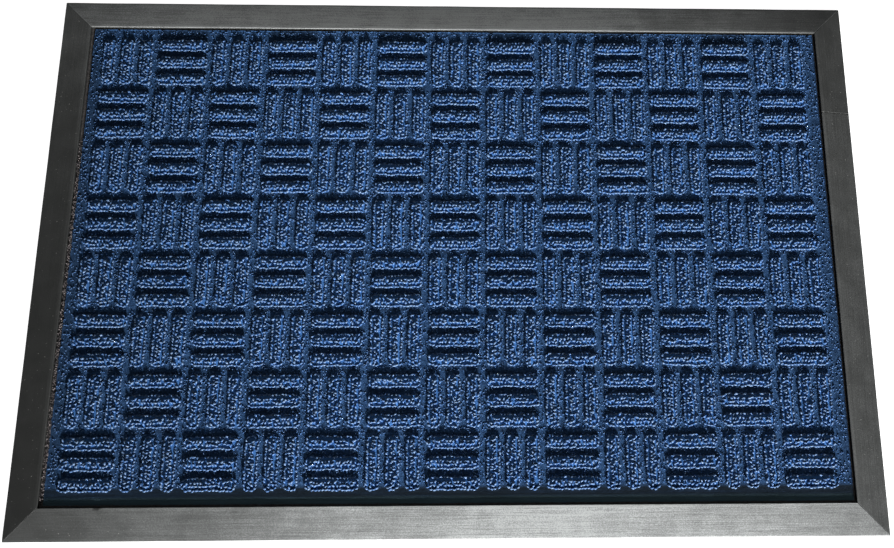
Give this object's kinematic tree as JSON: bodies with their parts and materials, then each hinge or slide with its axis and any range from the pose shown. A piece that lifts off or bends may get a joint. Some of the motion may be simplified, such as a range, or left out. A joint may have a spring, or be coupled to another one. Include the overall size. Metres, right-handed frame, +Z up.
{
  "type": "door mat",
  "caption": "Rectangular entrance mat: a looped-pile carpet with raised bars in a basket-weave pattern, framed by sloping rubber edges.",
  "frame": {"origin": "middle of the underside, on the floor", "axes": "+X along the long side to the right, +Y to the rear edge, +Z up out of the pile"},
  "size_m": [0.914, 0.61, 0.008],
  "materials": {
    "border_rubber": "matt black rubber, lightly dusty and brushed lengthwise",
    "base_rubber": "matt black rubber sheet with a fine grip texture",
    "latex_backing": "dull grey latex coat",
    "blue_pile": "blue looped synthetic pile on a needled felt ground"
  },
  "bodies": {
    "root": {"border_front": "border_rubber", "border_rear": "border_rubber", "border_left": "border_rubber", "border_right_front": "border_rubber", "border_right_rear": "border_rubber", "rubber_base": "base_rubber", "carpet_backing": "latex_backing", "carpet": "blue_pile"}
  },
  "joints": []
}
